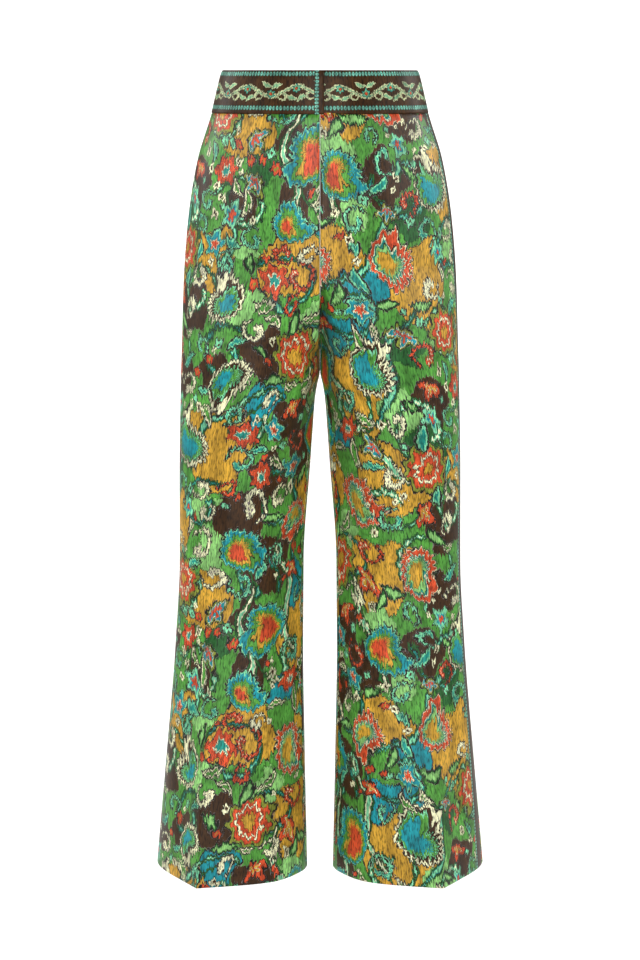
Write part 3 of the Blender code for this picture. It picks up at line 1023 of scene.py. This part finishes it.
class PantsCloth(bpy.types.PropertyGroup):
    """The cloth's thickness and finish."""

    wall: bpy.props.FloatProperty(
        name="Cloth wall", description="How thick the panels' cloth is", default=0.9 * MM, unit="LENGTH"
    )
    jag: bpy.props.FloatProperty(
        name="Jag", description="How far neighbouring thread groups shift, in millimetres", default=4.2
    )
    relief: bpy.props.FloatProperty(
        name="Relief", description="How strong the slubs stand out", default=0.5, subtype="FACTOR"
    )
    roughness: bpy.props.FloatProperty(
        name="Roughness", description="How dull the satin is", default=0.46, subtype="FACTOR"
    )
    sheen: bpy.props.FloatProperty(
        name="Sheen", description="How much the fibres catch light at an edge", default=0.03,
        subtype="FACTOR",
    )


class PantsStage(bpy.types.PropertyGroup):
    """The studio's floor height, light and colours."""

    floor: bpy.props.FloatProperty(
        name="Floor", description="Height of the floor", default=-1.4, unit="LENGTH"
    )
    light: bpy.props.FloatProperty(
        name="Light", description="Strength of all the studio's lamps", default=1.0
    )
    ground: bpy.props.FloatVectorProperty(
        name="Ground", description="Colour of the floor", subtype="COLOR",
        default=linear("#C9C8C5"), min=0.0, max=1.0,
    )
    paper: bpy.props.FloatVectorProperty(
        name="Paper", description="Colour of the paper backdrop", subtype="COLOR",
        default=linear("#F6F5F3"), min=0.0, max=1.0,
    )


# Where each panel lies on the printed cloth, and the sizes of the cut with its seam allowances,
# in metres.
Cut = namedtuple("Cut", "name across down width length area")
CUTS = [
    Cut("front_left", 40.0, 60.0, 0.335, 1.010, 0.285),
    Cut("front_right", 190.0, 330.0, 0.335, 1.010, 0.290),
    Cut("back_left", 110.0, 200.0, 0.345, 1.010, 0.305),
    Cut("back_right", 10.0, 470.0, 0.345, 1.010, 0.300),
]


class PANTS_OT_panels(bpy.types.Operator):
    """Builds the four leg panels of printed satin"""

    bl_idname = "pants.panels"
    bl_label = "Leg Panels"

    def execute(self, context):
        settings = context.scene.pants_cloth
        blocks = printed_satin(settings)
        wrong = wrong_side(settings)
        for cut in CUTS:
            # These two sheets are laid out from right to left, seen from outside.
            faces_back = cut.name in ("back_left", "front_right")
            mesh = cloth_mesh(f"{cut.name}_cloth", *draped_panel(cut), faces_back, blocked=True)
            piece = link(bpy.data.objects.new(f"{cut.name}_cloth", mesh))
            for finish in blocks + [wrong] * len(blocks):
                mesh.materials.append(finish)
            add_wall(piece, settings.wall, len(blocks))
            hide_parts(cut.name)
            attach(piece, "root")
        return {"FINISHED"}


class PANTS_OT_waistband(bpy.types.Operator):
    """Builds the firm waistband with its border print, lapped at the front"""

    bl_idname = "pants.waistband"
    bl_label = "Waistband"

    def execute(self, context):
        mesh = cloth_mesh("waistband_cloth", *band_places(), True)
        shape = bmesh.new()
        shape.from_mesh(mesh)
        bmesh.ops.remove_doubles(shape, verts=shape.verts, dist=0.01 * MM)
        bmesh.ops.holes_fill(shape, edges=[edge for edge in shape.edges if edge.is_boundary])
        bmesh.ops.recalc_face_normals(shape, faces=shape.faces)
        shape.to_mesh(mesh)
        shape.free()
        piece = link(bpy.data.objects.new("waistband_cloth", mesh))
        mesh.materials.append(border_satin(context.scene.pants_cloth))
        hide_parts("waistband")
        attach(piece, "root")
        return {"FINISHED"}


# Soft lamps on the garment and on the paper behind it, with their sizes in metres.
Lamp = namedtuple("Lamp", "name place aim size power")
LAMPS = [
    Lamp("front_softbox", (-0.2, -2.9, 0.8), (0.0, 0.0, -0.15), 0.9, 46.0),
    Lamp("low_softbox", (0.1, -3.6, -0.85), (0.0, 0.0, -0.3), 0.6, 13.0),
    Lamp("left_softbox", (-2.7, -1.3, 0.45), (0.0, 0.0, -0.3), 1.0, 27.0),
    Lamp("right_softbox", (2.7, -1.3, 0.45), (0.0, 0.0, -0.3), 1.0, 27.0),
    Lamp("back_softbox", (0.1, 3.4, 1.3), (0.0, 0.0, -0.4), 1.2, 60.0),
    Lamp("left_near_backdrop_light", (-2.4, 1.2, 0.9), (0.3, 3.9, -0.9), 1.4, 80.0),
    Lamp("right_near_backdrop_light", (2.4, 1.2, 0.9), (-0.3, 3.9, -0.9), 1.4, 80.0),
    Lamp("left_far_backdrop_light", (-2.6, 4.8, 0.9), (0.4, 7.6, -0.9), 1.4, 110.0),
    Lamp("right_far_backdrop_light", (2.6, 4.8, 0.9), (-0.4, 7.6, -0.9), 1.4, 110.0),
]
ROOM_LIGHT = 0.06
# The stage's other sizes are in metres too. The paper is a studio roll of the usual width.
FLOOR_RADIUS, FLOOR_SIDES = 12.0, 96
PAPER_WIDTH, PAPER_HEIGHT = 2.72, 2.4
PAPER_FRONT, PAPER_BACK = 0.6, 6.6
PAPER_TURN, PAPER_TURN_STEPS = 1.0, 17
PAPER_LIFT = 0.002
CAMERA_PLACE = (0.0, -3.36, 0.0265)
LENS, SENSOR = 100.0, 36.0
# The pitch follows from where the horizon lies in the frame, in pixels.
IMAGE_HEIGHT = 960
HORIZON_ROW = 70.0


class PANTS_OT_stage(bpy.types.Operator):
    """Sets up the floor, the backdrop, the lamps and the camera"""

    bl_idname = "pants.stage"
    bl_label = "Stage"

    def execute(self, context):
        settings = context.scene.pants_stage
        scene = context.scene
        self.floor(settings)
        self.lamps(scene, settings)
        camera = bpy.data.cameras.new("Camera")
        camera.lens, camera.sensor_width = LENS, SENSOR
        view = link(bpy.data.objects.new("Camera", camera))
        view.location = CAMERA_PLACE
        focal = LENS / SENSOR * IMAGE_HEIGHT
        view.rotation_euler = (pi / 2 - atan((IMAGE_HEIGHT / 2 - HORIZON_ROW) / focal), 0.0, 0.0)
        scene.camera = view
        scene.view_settings.view_transform = "Standard"
        return {"FINISHED"}

    def floor(self, settings):
        """A pale floor all round, and on it a white paper that sweeps up far behind."""
        shape = bmesh.new()
        bmesh.ops.create_circle(shape, cap_ends=True, radius=FLOOR_RADIUS, segments=FLOOR_SIDES)
        bmesh.ops.translate(shape, vec=(0.0, 0.0, settings.floor), verts=shape.verts)
        # Matt floor paint, rolled on: pale grey and without gloss.
        self.add_ground("pale_floor", "matt_pale_floor_paint", settings.ground, shape)
        turn = np.linspace(0, pi / 2, PAPER_TURN_STEPS)
        profile = [(PAPER_FRONT, 0.0)]
        profile += [(PAPER_BACK + PAPER_TURN * np.sin(a), PAPER_TURN * (1 - np.cos(a))) for a in turn]
        profile += [(PAPER_BACK + PAPER_TURN, PAPER_HEIGHT)]
        shape = bmesh.new()
        left, right = (
            [shape.verts.new((x, y, settings.floor + PAPER_LIFT + z)) for y, z in profile]
            for x in (-PAPER_WIDTH / 2, PAPER_WIDTH / 2)
        )
        for i in range(len(profile) - 1):
            shape.faces.new((left[i], right[i], right[i + 1], left[i + 1]))
        # Uncoated backdrop paper off a roll: white, even and without gloss.
        self.add_ground("paper_sweep", "matt_white_paper", settings.paper, shape)

    def add_ground(self, name, finish, colour, shape):
        """Makes a stage piece of a shape, with a plain matt finish."""
        mesh = bpy.data.meshes.new(name)
        shape.to_mesh(mesh)
        shape.free()
        mesh.shade_smooth()
        sockets = {"Base Color": (*colour, 1.0), "Roughness": MATT_ROUGHNESS}
        mesh.materials.append(start_finish(finish, sockets)[0])
        link(bpy.data.objects.new(name, mesh))

    def lamps(self, scene, settings):
        """Soft lamps all round in a dim white room, which the camera doesn't see."""
        world = bpy.data.worlds.new("dim_white_room")
        world.use_nodes = True
        background = world.node_tree.nodes["Background"]
        background.inputs["Color"].default_value = (1.0, 1.0, 1.0, 1.0)
        background.inputs["Strength"].default_value = ROOM_LIGHT
        scene.world = world
        for lamp in LAMPS:
            light = bpy.data.lights.new(lamp.name, "AREA")
            light.shape = "SQUARE"
            light.size = lamp.size
            light.energy = lamp.power * settings.light
            holder = link(bpy.data.objects.new(lamp.name, light))
            holder.location = lamp.place
            toward = Vector(lamp.aim) - Vector(lamp.place)
            holder.rotation_euler = toward.to_track_quat("-Z", "Y").to_euler()
            holder.visible_camera = False


class PANTS_PT_panel(bpy.types.Panel):
    """Lists the steps that build the pants"""

    bl_label = "Flare Pants"
    bl_idname = "PANTS_PT_panel"
    bl_space_type = "VIEW_3D"
    bl_region_type = "UI"
    bl_category = "Pants"

    def draw(self, context):
        """Shows every setting, and a button for every step."""
        for settings in (context.scene.pants_cloth, context.scene.pants_stage):
            for name in settings.__annotations__:
                self.layout.prop(settings, name)
        for operator in OPERATORS:
            self.layout.operator(operator.bl_idname)


OPERATORS = [PANTS_OT_panels, PANTS_OT_waistband, PANTS_OT_stage]
CLASSES = [PantsCloth, PantsStage, *OPERATORS, PANTS_PT_panel]


def register():
    """Registers the classes, and hangs the settings on the scene."""
    for entry in CLASSES:
        bpy.utils.register_class(entry)
    bpy.types.Scene.pants_cloth = bpy.props.PointerProperty(type=PantsCloth)
    bpy.types.Scene.pants_stage = bpy.props.PointerProperty(type=PantsStage)


def unregister():
    """Takes away what register added."""
    del bpy.types.Scene.pants_cloth
    del bpy.types.Scene.pants_stage
    for entry in reversed(CLASSES):
        bpy.utils.unregister_class(entry)


def main():
    """Builds everything."""
    register()
    bpy.ops.pants.panels()
    bpy.ops.pants.waistband()
    bpy.ops.pants.stage()


if __name__ == "__main__":
    main()
